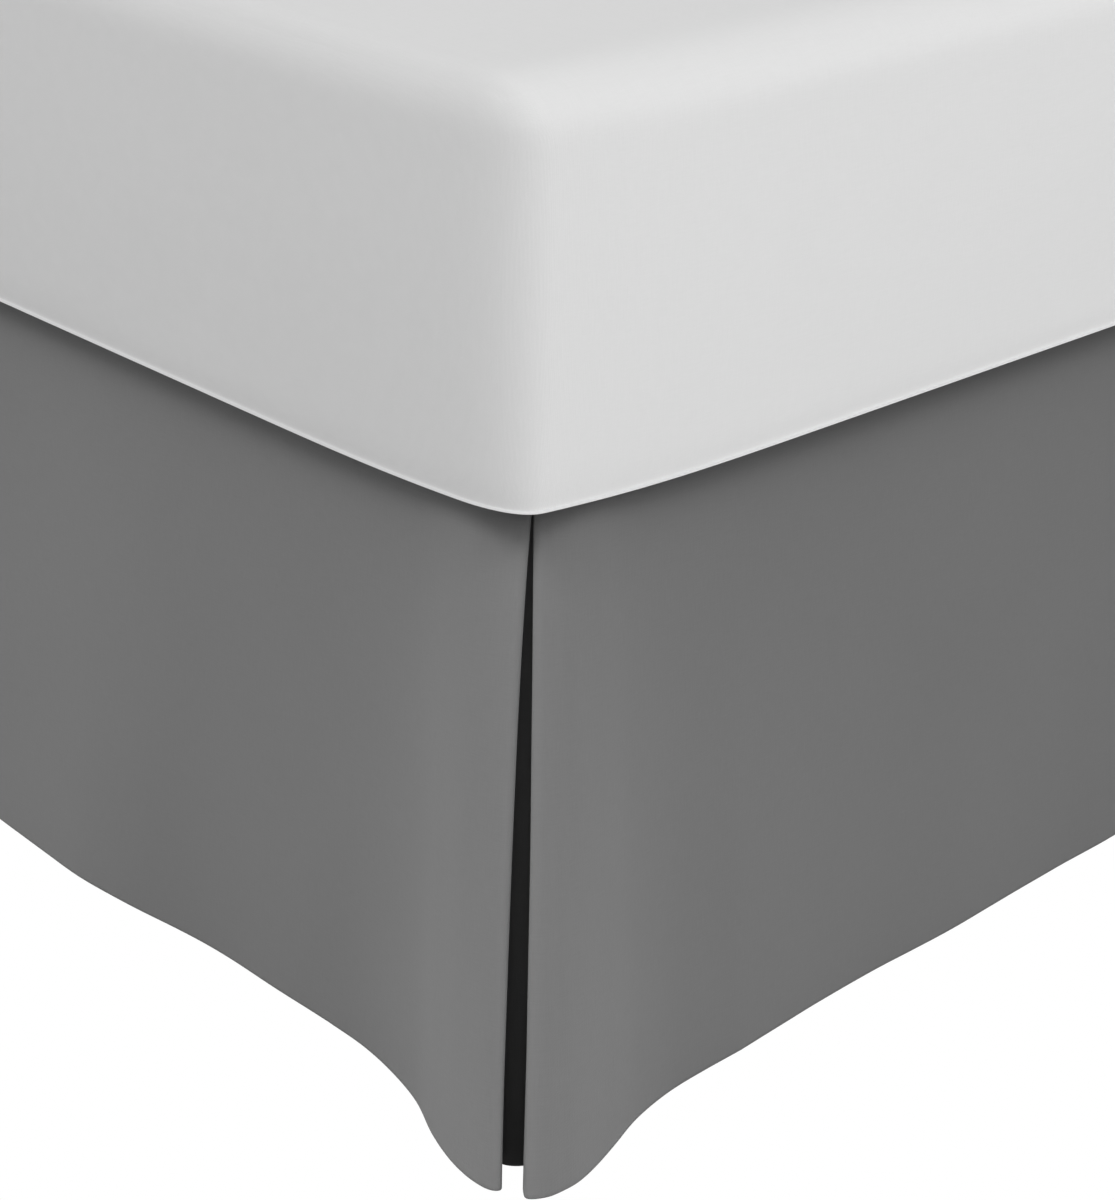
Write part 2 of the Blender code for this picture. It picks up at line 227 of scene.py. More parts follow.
def woven_threads():
    """A node group: threads crossing over and under, slubs along them, and a faint mottle."""
    group = bpy.data.node_groups.new("woven threads", "ShaderNodeTree")
    face = group.interface
    for name, kind, start in (("Place", "NodeSocketVector", None),
                              ("Cloth colour", "NodeSocketColor", (0.5, 0.5, 0.5, 1.0)),
                              ("Threads per metre", "NodeSocketFloat", 2500.0),
                              ("Slub", "NodeSocketFloat", 0.05),
                              ("Mottle", "NodeSocketFloat", 0.05)):
        socket = face.new_socket(name=name, in_out="INPUT", socket_type=kind)
        if start is not None:
            socket.default_value = start
    face.new_socket(name="Colour", in_out="OUTPUT", socket_type="NodeSocketColor")
    face.new_socket(name="Height", in_out="OUTPUT", socket_type="NodeSocketFloat")
    nodes, links = group.nodes, group.links
    into = nodes.new("NodeGroupInput")
    out = nodes.new("NodeGroupOutput")

    def maths(operation, *values):
        node = nodes.new("ShaderNodeMath")
        node.operation = operation
        for socket, value in zip(node.inputs, values):
            if isinstance(value, (int, float)):
                socket.default_value = value
            else:
                links.new(value, socket)
        return node.outputs["Value"]

    def cloud(scale, detail):
        stretch = nodes.new("ShaderNodeMapping")
        stretch.inputs["Scale"].default_value = scale
        links.new(into.outputs["Place"], stretch.inputs["Vector"])
        made = nodes.new("ShaderNodeTexNoise")
        made.inputs["Scale"].default_value = 1.0
        made.inputs["Detail"].default_value = detail
        links.new(stretch.outputs["Vector"], made.inputs["Vector"])
        return maths("SUBTRACT", made.outputs["Fac"], 0.5)

    parts = nodes.new("ShaderNodeSeparateXYZ")
    links.new(into.outputs["Place"], parts.inputs["Vector"])
    half_turns = maths("MULTIPLY", into.outputs["Threads per metre"], math.pi)
    warp = maths("SINE", maths("MULTIPLY", parts.outputs["X"], half_turns))
    weft = maths("SINE", maths("MULTIPLY", parts.outputs["Y"], half_turns))
    crossing = maths("MULTIPLY", warp, weft)
    along = cloud((SLUB_LONG, SLUB_SHORT, SLUB_LONG), 2.0)
    across = cloud((SLUB_SHORT, SLUB_LONG, SLUB_SHORT), 2.0)
    slub = maths("ADD", along, across)
    mottle = cloud((MOTTLE_SCALE,) * 3, 4.0)
    tone = maths("ADD", maths("MULTIPLY", slub, into.outputs["Slub"]),
                 maths("MULTIPLY", mottle, into.outputs["Mottle"]))
    shade = nodes.new("ShaderNodeVectorMath")
    shade.operation = "SCALE"
    links.new(into.outputs["Cloth colour"], shade.inputs[0])
    links.new(maths("ADD", tone, 1.0), shade.inputs["Scale"])
    links.new(shade.outputs["Vector"], out.inputs["Colour"])
    links.new(maths("ADD", maths("MULTIPLY", crossing, 0.5), slub), out.inputs["Height"])
    return group


weave = woven_threads()


def cloth_material(name, colour, threads, slub, mottle, relief, roughness, follow=None):
    """A woven cloth; follow is the UV map that its threads run along, if it has one."""
    made, shader, nodes, links = new_material(name, roughness)
    if follow:
        place = nodes.new("ShaderNodeUVMap")
        place.uv_map = follow
        where = place.outputs["UV"]
    else:
        place = nodes.new("ShaderNodeTexCoord")
        where = place.outputs["Object"]
    threads_node = nodes.new("ShaderNodeGroup")
    threads_node.node_tree = weave
    threads_node.inputs["Cloth colour"].default_value = colour
    threads_node.inputs["Threads per metre"].default_value = threads
    threads_node.inputs["Slub"].default_value = slub
    threads_node.inputs["Mottle"].default_value = mottle
    bump = nodes.new("ShaderNodeBump")
    bump.inputs["Strength"].default_value = relief
    bump.inputs["Distance"].default_value = THREAD_HEIGHT
    links.new(where, threads_node.inputs["Place"])
    links.new(threads_node.outputs["Colour"], shader.inputs["Base Color"])
    links.new(threads_node.outputs["Height"], bump.inputs["Height"])
    links.new(bump.outputs["Normal"], shader.inputs["Normal"])
    return made


base_cloth = cloth_material("off-white base cloth", BASE_COLOUR, threads=1400.0, slub=0.10,
                            mottle=0.06, relief=0.35, roughness=0.90)
dust_cover, dust_shader, dust_nodes, dust_links = new_material("dust cover",
                                                               DUST_COVER_ROUGHNESS)
dust_place = dust_nodes.new("ShaderNodeTexCoord")
dust_dimples = dust_nodes.new("ShaderNodeTexVoronoi")
dust_dimples.inputs["Scale"].default_value = DUST_COVER_DIMPLES
dust_tone = dust_nodes.new("ShaderNodeMixRGB")
dust_tone.inputs["Color1"].default_value = DUST_COVER_COLOUR
dust_tone.inputs["Color2"].default_value = DUST_COVER_LIGHT
dust_links.new(dust_place.outputs["Object"], dust_dimples.inputs["Vector"])
dust_links.new(dust_dimples.outputs["Distance"], dust_tone.inputs["Fac"])
dust_links.new(dust_tone.outputs["Color"], dust_shader.inputs["Base Color"])

base_low, base_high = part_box("bed_base")
base_middle = (base_low + base_high) / 2
bpy.ops.object.select_all(action="DESELECT")
bpy.ops.mesh.primitive_cube_add(size=1.0, location=base_middle)
base_piece = bpy.context.object
base_piece.name = "covered_base"
base_piece.scale = base_high - base_low
bpy.ops.object.transform_apply(location=True, rotation=True, scale=True)
bpy.ops.object.mode_set(mode="EDIT")
bpy.ops.mesh.select_mode(type="EDGE")
bpy.ops.mesh.select_all(action="DESELECT")
bpy.ops.object.mode_set(mode="OBJECT")
for edge in base_piece.data.edges:
    ends = [base_piece.data.vertices[i].co for i in edge.vertices]
    upright = abs(ends[0].z - ends[1].z) > BASE_CORNER
    edge.select = upright and ends[0].y < base_middle.y
bpy.ops.object.mode_set(mode="EDIT")
bpy.ops.mesh.bevel(offset=BASE_CORNER, segments=BASE_CORNER_STEPS, affect="EDGES")
bpy.ops.mesh.select_all(action="DESELECT")
bpy.ops.object.mode_set(mode="OBJECT")
for edge in base_piece.data.edges:
    ends = [base_piece.data.vertices[i].co for i in edge.vertices]
    edge.select = abs(ends[0].z - ends[1].z) < NEAR
bpy.ops.object.mode_set(mode="EDIT")
bpy.ops.mesh.bevel(offset=BASE_RIM, segments=BASE_RIM_STEPS, affect="EDGES")
bpy.ops.mesh.select_mode(type="FACE")
bpy.ops.mesh.select_all(action="DESELECT")
bpy.ops.object.mode_set(mode="OBJECT")
base_piece.data.materials.append(base_cloth)
base_piece.data.materials.append(dust_cover)
for face in base_piece.data.polygons:
    face.select = face.center.z < base_low.z + NEAR
bpy.ops.object.mode_set(mode="EDIT")
bpy.ops.mesh.inset(thickness=DUST_COVER_MARGIN, depth=0.0)
bpy.ops.mesh.inset(thickness=DUST_COVER_EDGE, depth=-DUST_COVER_LIFT)
base_piece.active_material_index = 1
bpy.ops.object.material_slot_assign()
bpy.ops.object.mode_set(mode="OBJECT")
bpy.ops.object.shade_smooth_by_angle(angle=BASE_SMOOTH_UNDER)
finish_piece(base_piece, "base_cloth", "bed_base")

for welt_name, welt_height in (("base_welt_top", base_high.z - BASE_WELT),
                               ("base_welt_bottom", base_low.z + BASE_WELT)):
    bpy.ops.object.select_all(action="DESELECT")
    bpy.ops.mesh.primitive_plane_add(size=1.0, location=(base_middle.x, base_middle.y,
                                                         welt_height))
    welt_piece = bpy.context.object
    welt_piece.name = welt_name
    welt_piece.scale = (base_high.x - base_low.x - 2 * BASE_WELT,
                        base_high.y - base_low.y - 2 * BASE_WELT, 1.0)
    bpy.ops.object.transform_apply(location=True, rotation=True, scale=True)
    bpy.ops.object.mode_set(mode="EDIT")
    bpy.ops.mesh.select_mode(type="VERT")
    bpy.ops.mesh.select_all(action="DESELECT")
    bpy.ops.object.mode_set(mode="OBJECT")
    for point in welt_piece.data.vertices:
        point.select = point.co.y < base_middle.y
    bpy.ops.object.mode_set(mode="EDIT")
    bpy.ops.mesh.bevel(offset=BASE_CORNER - BASE_WELT, offset_type="OFFSET",
                       segments=BASE_CORNER_STEPS, affect="VERTICES")
    bpy.ops.mesh.select_all(action="SELECT")
    bpy.ops.mesh.delete(type="ONLY_FACE")
    bpy.ops.object.mode_set(mode="OBJECT")
    bpy.ops.object.convert(target="CURVE")
    welt_piece = bpy.context.object
    welt_piece.data.bevel_depth = BASE_WELT
    welt_piece.data.bevel_resolution = BASE_WELT_STEPS
    bpy.ops.object.convert(target="MESH")
    welt_piece = bpy.context.object
    bpy.ops.object.shade_smooth()
    welt_piece.data.materials.clear()
    welt_piece.data.materials.append(base_cloth)
    finish_piece(welt_piece, "base_cloth")


# The deck is the part of the skirt that lies between the base and the mattress: one flat sheet
# of white cotton, rounded at its foot corners, with the three drops sewn to its edge.
DECK_COLOUR = (0.720, 0.720, 0.712, 1.0)
DECK_CORNER = 0.056
DECK_CORNER_STEPS = 12
DECK_CUT = (1.494, 2.002)
DECK_PARTS = (22, 30)         # how many strips it is divided in each way
DECK_CLOTH = 0.0012

deck_cloth = cloth_material("white deck cloth", DECK_COLOUR, threads=2200.0, slub=0.06,
                            mottle=0.04, relief=0.25, roughness=0.88)
deck_low, deck_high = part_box("skirt_deck")
deck_middle = (deck_low + deck_high) / 2
bpy.ops.object.select_all(action="DESELECT")
bpy.ops.mesh.primitive_plane_add(size=1.0, location=(deck_middle.x, deck_middle.y, deck_high.z))
deck_piece = bpy.context.object
deck_piece.name = "deck_sheet"
deck_piece.scale = (*DECK_CUT, 1.0)
bpy.ops.object.transform_apply(location=True, rotation=True, scale=True)
bpy.ops.object.mode_set(mode="EDIT")
bpy.ops.mesh.select_mode(type="VERT")
bpy.ops.mesh.select_all(action="DESELECT")
bpy.ops.object.mode_set(mode="OBJECT")
for point in deck_piece.data.vertices:
    point.select = point.co.y < deck_middle.y
bpy.ops.object.mode_set(mode="EDIT")
bpy.ops.mesh.bevel(offset=DECK_CORNER, offset_type="OFFSET", segments=DECK_CORNER_STEPS,
                   affect="VERTICES")
bpy.ops.mesh.select_mode(type="FACE")
for axis, normal in ((1, (0.0, 1.0, 0.0)), (0, (1.0, 0.0, 0.0))):
    for cut in range(1, DECK_PARTS[axis]):
        cut_place = Vector((0.0, 0.0, deck_high.z))
        cut_place[axis] = deck_low[axis] + DECK_CUT[axis] * cut / DECK_PARTS[axis]
        bpy.ops.mesh.select_all(action="SELECT")
        bpy.ops.mesh.bisect(plane_co=cut_place, plane_no=normal)
bpy.ops.object.mode_set(mode="OBJECT")
deck_wall = deck_piece.modifiers.new("cloth thickness", "SOLIDIFY")
deck_wall.thickness = DECK_CLOTH
deck_wall.offset = -1.0
bpy.ops.object.modifier_apply(modifier=deck_wall.name)
deck_piece.data.materials.append(deck_cloth)
finish_piece(deck_piece, "deck_cloth", "skirt_deck")


# Three drops of grey microfibre hang from the deck's edge to just over the floor, one across
# the foot and one down each side. Round each foot corner their ends fold back as a pleat, and
# they flare outwards there. Each hem is turned up 25 mm on the inside.
SKIRT_COLOUR = (0.185, 0.185, 0.185, 1.0)
SKIRT_CLOTH = 0.0009          # one layer
SKIRT_HEM_CLOTH = 0.0017      # the hem, where the cloth is double
SKIRT_STAND_OUT = 0.00075     # from the line of its columns to the cloth's outer face
SKIRT_HEM_DEPTH = 0.025
SKIRT_HEM_STEP = 0.0006       # height of the step from one layer to two
SKIRT_EDGE = 0.00028          # how far a cut edge is eased
SKIRT_EDGE_OVER = math.radians(70)    # corners sharper than this are eased
SKIRT_SHINE = 0.25
SKIRT_SIDE = DECK_CUT[0] / 2  # outer face of a side drop at its top, from the middle
SKIRT_LENGTH = DECK_CUT[1]    # from the foot drop's outer face to the head
FOOT_LINE = deck_low.y        # outer face of the foot drop at its top
SEWN_GAP = 0.0003             # from the deck's underside to the cloth's top edge
CLOTH_TOP = deck_low.z - SEWN_GAP
FALL = 0.3682                 # from the top edge to the hem
HEM_RISE = 0.4                # share of the lift that a flared hem would have in stiff cloth
CORNER_RADIUS = DECK_CORNER
BODY_STEP = 0.009             # between columns, past the pleat
BODY_LEAN = 1.2
ROW_STEP = 0.011              # between rows, above the hem
HEM_ROWS = (0.018, 0.011, 0.0055, 0.0022, 0.0)   # heights of the hem's rows over its edge
RIPPLE = 0.0007               # how far the hanging cloth waves in and out of its plane
RIPPLE_FULL = 0.62            # share of the fall below which it waves in full
RIPPLE_BROAD = (9.0, 5.0)     # how quickly it waves along the cloth and down it
RIPPLE_FINE = (24.0, 11.0)
RIPPLE_FINE_SHARE = 0.4
FRONT_LAYER = 0.00075         # depth in from the outer face to each layer, at the top edge
RETURN_LAYER = 0.00395
LAYER_DEPTH = {
    "front": FRONT_LAYER,
    "fold": (FRONT_LAYER + RETURN_LAYER) / 2,
    "return": RETURN_LAYER,
    "seam": 0.00575,
    "insert": 0.00655,
}
# Rows of a pleat: place along the top edge from the corner's middle, minus along the foot;
# layer; how far the hem lies out past the side drop's face and past the foot drop's face, in
# millimetres; lean, which is over 1 where the cloth hangs straight before it swings out; and
# how far the cloth bows away sideways on its way down, in millimetres.
MM = 0.001
BOW_RISE = 0.75               # under 1 for a bow that is widest above half the fall
FOOT_FOLD = (
    (-148, "front", -156.0, 3.0, 1.2, 0.0),
    (-120, "front", -124.0, 3.8, 1.2, 0.0),
    (-88, "front", -93.0, 8.4, 1.15, 0.0),
    (-62, "front", -60.0, 17.8, 1.1, -0.2),
    (-41, "front", -30.0, 32.2, 1.05, -0.7),
    (-26, "front", -6.0, 41.4, 1.0, -1.3),
    (-12, "front", 12.0, 45.8, 1.0, -2.0),
    (-3, "front", 25.4, 47.0, 1.0, -2.6),
    (2.0, "front", 33.2, 45.8, 1.0, -2.8),
    (4.0, "fold", 36.5, 42.4, 1.0, -2.8),
    (2.0, "return", 33.4, 38.8, 1.0, -2.7),
    (-4, "return", 25.2, 35.4, 1.0, -2.3),
    (-20, "return", 8.6, 29.4, 1.0, -1.2),
    (-40, "return", -12.0, 21.5, 1.0, -0.4),
    (-58, "return", -30.0, 13.8, 1.0, 0.0),
    (-72, "return", -44.0, 7.0, 1.0, 0.0),
)
SIDE_FOLD = (
    (148, "front", 24.0, -156.0, 1.2, 0.0),
    (120, "front", 24.8, -124.0, 1.2, 0.0),
    (88, "front", 27.0, -93.0, 1.15, 0.0),
    (62, "front", 33.8, -62.0, 1.1, 0.0),
    (41, "front", 44.6, -34.0, 1.05, 0.1),
    (26, "front", 52.8, -12.0, 1.0, 0.2),
    (16, "front", 57.6, 4.4, 1.0, 0.2),
    (10.5, "front", 58.7, 16.3, 1.0, 0.3),
    (7.6, "front", 57.8, 27.8, 1.0, 0.3),
    (5.8, "fold", 52.8, 36.6, 1.0, 0.3),
    (7.6, "return", 47.6, 34.8, 1.0, 0.3),
    (12, "return", 39.2, 26.2, 1.0, 0.3),
    (22, "return", 33.0, 11.0, 1.0, 0.2),
    (40, "return", 27.0, -12.0, 1.0, 0.1),
    (58, "return", 18.0, -30.0, 1.0, 0.0),
    (72, "return", 10.0, -44.0, 1.0, 0.0),
)
# How far the hem stands out along a drop: distance from the corner, and out, in millimetres.
FOOT_HEM = (
    (156, 3.0), (210, 3.5), (275, 4.0), (336, 11.0), (385, 14.6), (432, 13.0), (488, 10.0),
    (560, 5.0), (640, 4.0), (720, 9.0), (790, 12.5), (860, 10.0), (935, 4.0), (1010, 5.0),
    (1085, 11.5), (1160, 12.0), (1235, 6.0), (1338, 3.0),
)
SIDE_HEM = (
    (156, 24.0), (225, 19.0), (285, 16.8), (345, 17.0), (397, 15.0), (461, 12.0), (526, 10.0),
    (610, 6.0), (720, 11.0), (820, 15.0), (920, 9.0), (1020, 5.0), (1130, 11.0), (1240, 14.5),
    (1350, 8.0), (1460, 5.0), (1570, 12.0), (1680, 13.5), (1790, 7.0), (1890, 8.0), (2002, 13.0),
)
PLEAT_PARTS = 6               # columns of cloth between two rows of a pleat's table
HEM_PARTS = 24                # points between two of a hem's, to find places along it


def smooth_curve(points, parts):
    """Points on a Catmull-Rom curve through the given ones, each gap cut in so many parts."""
    padded = [points[0] * 2 - points[1], *points, points[-1] * 2 - points[-2]]
    curve = []
    for before, start, end, after in zip(padded, padded[1:], padded[2:], padded[3:]):
        for part in range(parts):
            u = part / parts
            curve.append((start * 2
                          + (end - before) * u
                          + (before * 2 - start * 5 + end * 4 - after) * u ** 2
                          + (start * 3 - before - end * 3 + after) * u ** 3) / 2)
    return [*curve, points[-1]]


def top_edge(along, depth):
    """Side and foot places of a point on the top edge, this deep in from the outer face."""
    half_arc = CORNER_RADIUS * math.pi / 4
    turned = max(-half_arc, min(half_arc, along))
    angle = math.pi / 4 + turned / CORNER_RADIUS
    straight = abs(along) - abs(turned)
    reach = CORNER_RADIUS - depth
    side = reach * math.sin(angle) - CORNER_RADIUS - (straight if along < 0 else 0)
    foot = reach * math.cos(angle) - CORNER_RADIUS - (straight if along > 0 else 0)
    return side, foot


def pleat_columns(table, hand):
    """Top and hem plan points, lean and bow of a pleat's columns; hand is -1 on the left."""
    stations = []
    for top, layer, side, foot, lean, bow in table:
        top_side, top_foot = top_edge(top * MM, LAYER_DEPTH[layer])
        stations.append(Vector((top_side, top_foot, side * MM, foot * MM, lean, bow * MM)))
    along = Vector((hand, 1.0, 0.0)).normalized()
    return [(Vector((hand * (SKIRT_SIDE + top_side), FOOT_LINE - top_foot, 0.0)),
             Vector((hand * (SKIRT_SIDE + side), FOOT_LINE - foot, 0.0)), lean, along * bow)
            for top_side, top_foot, side, foot, lean, bow in smooth_curve(stations, PLEAT_PARTS)]


def hem_line(table, run_end):
    """Distance from the corner, and out, along the plain stretch of a drop."""
    line = smooth_curve([Vector((distance * MM, out * MM)) for distance, out in table],
                        HEM_PARTS)
    count = round((run_end - line[0].x) / BODY_STEP)
    places, spot = [], 0
    for step in range(1, count + 1):
        distance = line[0].x + (run_end - line[0].x) * step / count
        while spot < len(line) - 2 and line[spot + 1].x < distance:
            spot += 1
        share = (distance - line[spot].x) / (line[spot + 1].x - line[spot].x)
        places.append((distance, line[spot].y + (line[spot + 1].y - line[spot].y) * share))
    return places


def row_depths():
    """How far each row of the cloth lies below its top edge, closer together at the hem."""
    hem_top = FALL - SKIRT_HEM_DEPTH
    single = hem_top - SKIRT_HEM_STEP
    count = math.ceil(single / ROW_STEP)
    return [*(single * i / count for i in range(count + 1)), hem_top,
            *(FALL - height for height in HEM_ROWS)]


def ripple(along, down, seed):
    """How far the cloth waves out of its plane here, as a share of its full ripple."""
    broad = noise.noise(Vector((along * RIPPLE_BROAD[0], down * RIPPLE_BROAD[1], seed)))
    fine = noise.noise(Vector((along * RIPPLE_FINE[0], down * RIPPLE_FINE[1], seed + 7.0)))
    held = math.sin(math.pi / 2 * min(down / FALL, RIPPLE_FULL) / RIPPLE_FULL)
    return (broad + RIPPLE_FINE_SHARE * fine) * held


def hang_cloth(name, columns, finish, seed):
    """A closed sheet hung from its top edge; a column is its top, hem, lean and bow."""
    rows = row_depths()
    across, down = len(columns), len(rows)
    bpy.ops.object.select_all(action="DESELECT")
    bpy.ops.mesh.primitive_grid_add(x_subdivisions=across - 1, y_subdivisions=down - 1,
                                    size=2.0)
    cloth = bpy.context.object
    cloth.name = name
    mesh = cloth.data
    run = [0.0]
    for (top_a, hem_a, *_), (top_b, hem_b, *_) in zip(columns, columns[1:]):
        run.append(run[-1] + ((top_b - top_a).length + (hem_b - hem_a).length) / 2)
    doubled = cloth.vertex_groups.new(name="doubled cloth")
    cut = {}
    for point in mesh.vertices:
        column = round((point.co.x + 1) / 2 * (across - 1))
        row = round((1 - point.co.y) / 2 * (down - 1))
        top, hem, lean, bow = columns[column]
        fallen = rows[row] / FALL
        drift = (hem - top).length
        lift = HEM_RISE * (FALL - math.sqrt(FALL ** 2 - drift ** 2))
        before, after = columns[max(column - 1, 0)], columns[min(column + 1, across - 1)]
        top_facing, hem_facing = [Vector((b.y - a.y, a.x - b.x, 0.0)).normalized()
                                  for a, b in zip(before[:2], after[:2])]
        facing = top_facing.lerp(hem_facing, fallen ** lean).normalized()
        out = SKIRT_STAND_OUT + RIPPLE * ripple(run[column], rows[row], seed)
        point.co = (top.lerp(hem, fallen ** lean) + bow * math.sin(math.pi * fallen ** BOW_RISE)
                    + facing * out)
        point.co.z = CLOTH_TOP - fallen * (FALL - lift)
        cut[point.index] = (run[column], -rows[row])
        in_hem = rows[row] > FALL - SKIRT_HEM_DEPTH - NEAR
        doubled.add([point.index], 1.0 if in_hem else 0.0, "REPLACE")
    threads = mesh.uv_layers[0]
    threads.name = "threads"
    for loop in mesh.loops:
        threads.data[loop.index].uv = cut[loop.vertex_index]
    wall = cloth.modifiers.new("cloth thickness", "SOLIDIFY")
    wall.thickness = SKIRT_HEM_CLOTH
    wall.offset = -1.0
    wall.vertex_group = doubled.name
    wall.thickness_vertex_group = SKIRT_CLOTH / SKIRT_HEM_CLOTH
    bpy.ops.object.modifier_apply(modifier=wall.name)
    turned = cloth.modifiers.new("turned edges", "BEVEL")
    turned.width = SKIRT_EDGE
    turned.segments = 2
    turned.limit_method = "ANGLE"
    turned.angle_limit = SKIRT_EDGE_OVER
    bpy.ops.object.modifier_apply(modifier=turned.name)
    cloth.vertex_groups.clear()
    bpy.ops.object.shade_smooth()
    mesh.materials.append(finish)
    return cloth


skirt_cloth = cloth_material("grey microfibre", SKIRT_COLOUR, threads=2600.0, slub=0.09,
                             mottle=0.05, relief=0.30, roughness=0.82, follow="threads")
skirt_shader = skirt_cloth.node_tree.nodes["Principled BSDF"]
skirt_shader.inputs["Specular IOR Level"].default_value = SKIRT_SHINE

right_fold = pleat_columns(FOOT_FOLD, 1)
left_fold = pleat_columns(FOOT_FOLD, -1)
foot_run = [(Vector((SKIRT_SIDE - distance, FOOT_LINE + FRONT_LAYER, 0.0)),
             Vector((SKIRT_SIDE - distance, FOOT_LINE - out, 0.0)), BODY_LEAN, Vector())
            for distance, out in hem_line(FOOT_HEM, 2 * SKIRT_SIDE - FOOT_HEM[0][0] * MM)[:-1]]
foot_piece = hang_cloth("foot_drop_cloth",
                        [*reversed(left_fold), *reversed(foot_run), *right_fold],
                        skirt_cloth, seed=3.0)
finish_piece(foot_piece, "skirt_cloth", "foot_drop")

for hand_name, hand in (("right", 1), ("left", -1)):
    side_run = [(Vector((hand * (SKIRT_SIDE - FRONT_LAYER), FOOT_LINE + distance, 0.0)),
                 Vector((hand * (SKIRT_SIDE + out), FOOT_LINE + distance, 0.0)), BODY_LEAN,
                 Vector())
                for distance, out in hem_line(SIDE_HEM, SKIRT_LENGTH)]
    side_columns = [*reversed(pleat_columns(SIDE_FOLD, hand)), *side_run]
    if hand < 0:
        side_columns.reverse()
    side_piece = hang_cloth(f"side_drop_cloth_{hand_name}", side_columns, skirt_cloth,
                            seed=20.0 + hand)
    finish_piece(side_piece, "skirt_cloth", f"side_drop_{hand_name}")


# Behind each slit a narrow insert of the same cloth closes the corner. It is sewn to the ends
# of the foot drop and the side drop, and hangs a little way in behind their folded edges.
INSERT = (
    (-72, "seam", -44.0, 4.2, 1.0, 0.0),
    (-58, "insert", -30.0, 9.6, 1.0, 0.0),
    (-40, "insert", -12.0, 16.0, 1.0, 0.0),
    (-22, "insert", 5.0, 22.2, 1.0, 0.0),
    (-8, "insert", 17.0, 23.6, 1.0, 0.0),
    (2, "insert", 24.5, 18.6, 1.0, 0.0),
    (9, "insert", 27.5, 11.0, 1.0, 0.0),
    (22, "insert", 25.6, 0.0, 1.0, 0.0),
    (40, "insert", 19.0, -15.0, 1.0, 0.0),
    (58, "insert", 12.0, -31.0, 1.0, 0.0),
    (72, "seam", 6.2, -44.0, 1.0, 0.0),
)

insert_pieces = []
for hand_name, hand in (("right", 1), ("left", -1)):
    insert_columns = pleat_columns(INSERT, hand)
    if hand < 0:
        insert_columns.reverse()
    insert_piece = hang_cloth(f"pleat_insert_cloth_{hand_name}", insert_columns, skirt_cloth,
                              seed=40.0 + hand)
    finish_piece(insert_piece, "skirt_cloth", f"pleat_insert_{hand_name}")
    insert_pieces.append(insert_piece)


# The mattress is foam and springs in a tight white cotton cover. Its sides draw in towards
# the corners, its top is crowned, and the cover's edge is rolled under as a thin lip.
MATTRESS_COLOUR = (0.800, 0.800, 0.800, 1.0)
MATTRESS_ROUND = 0.028        # how far down from the top it is rounded
MATTRESS_CORNER = (0.045, 0.0197)   # how far in from the long sides and the ends it is rounded
MATTRESS_CROWN = 0.004
MATTRESS_CROWN_RUN = 0.45     # how far in from a side the crown is still rising
MATTRESS_BULGE = 0.0035       # how far the sides stand out at half height
MATTRESS_SHINE = 0.20
MATTRESS_SOFT = 0.0006        # how far the sides are uneven, above the lip
MATTRESS_SOFT_SCALE = 6.0
# How far the foot and head sides, then the long sides, draw in towards a corner, how far from
# the corner that starts and where it is complete.
MATTRESS_DRAW = ((0.0078, 0.2149, 0.0296), (0.0168, 0.2055, 0.0))
MATTRESS_DRAW_DEPTH = 0.20    # how far in from a side its drawing in is felt
# Where the mattress is cut into faces: in from each side, down from the top and up its sides.
MATTRESS_CUTS = (0.0035, 0.0075, 0.012, 0.017, 0.022, 0.028, 0.036, 0.046, 0.058, 0.072,
                 0.088, 0.106, 0.128, 0.156, 0.190, 0.230, 0.280)
MATTRESS_CUT_STEP = 0.070     # between cuts past the last of those
MATTRESS_TOP_CUTS = (0.036, 0.028, 0.022, 0.017, 0.012, 0.0075, 0.0035)
MATTRESS_SIDE_CUTS = (0.030, 0.048, 0.070, 0.095, 0.120, 0.145, 0.168)
MATTRESS_LIP = (              # height over the underside, out past the side, and down
    (0.0, -0.0012, 0.0006), (0.0003, -0.0003, 0.0008), (0.0006, 0.0003, 0.0008),
    (0.0009, 0.0004, 0.0008), (0.0011, 0.0001, 0.0007), (0.0013, -0.0007, 0.0006),
    (0.0015, -0.0012, 0.0006), (0.0019, -0.0014, 0.0006), (0.0024, -0.0014, 0.0005),
    (0.0036, -0.0012, 0.0004), (0.0060, -0.0008, 0.0003), (0.0090, -0.0005, 0.0002),
    (0.0130, -0.0002, 0.0001), (0.0200, 0.0000, 0.0000),
)
# The deck's head corners are square and reach out under the mattress's rounded ones, so there
# the lip lies on the deck, and it hangs below the underside from this far past the deck on.
MATTRESS_LIP_CLEAR = 0.004

mattress_cloth = cloth_material("white cotton cover", MATTRESS_COLOUR, threads=2300.0,
                                slub=0.035, mottle=0.016, relief=0.22, roughness=0.85)
mattress_shader = mattress_cloth.node_tree.nodes["Principled BSDF"]
mattress_shader.inputs["Specular IOR Level"].default_value = MATTRESS_SHINE

mattress_low, mattress_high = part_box("mattress")
mattress_middle = (mattress_low + mattress_high) / 2
mattress_half = (mattress_high - mattress_low) / 2
bpy.ops.object.select_all(action="DESELECT")
bpy.ops.mesh.primitive_cube_add(size=2.0, location=mattress_middle)
mattress_piece = bpy.context.object
mattress_piece.name = "padded_mattress"
mattress_piece.scale = mattress_half
bpy.ops.object.transform_apply(location=True, rotation=True, scale=True)


def cuts_between(half):
    """Distances from a side to cut at, close together near it, up to the middle."""
    steps = round((half - MATTRESS_CUTS[-1]) / MATTRESS_CUT_STEP)
    span = (half - MATTRESS_CUTS[-1]) / steps
    return [*MATTRESS_CUTS, *(MATTRESS_CUTS[-1] + span * i for i in range(1, steps + 1))]


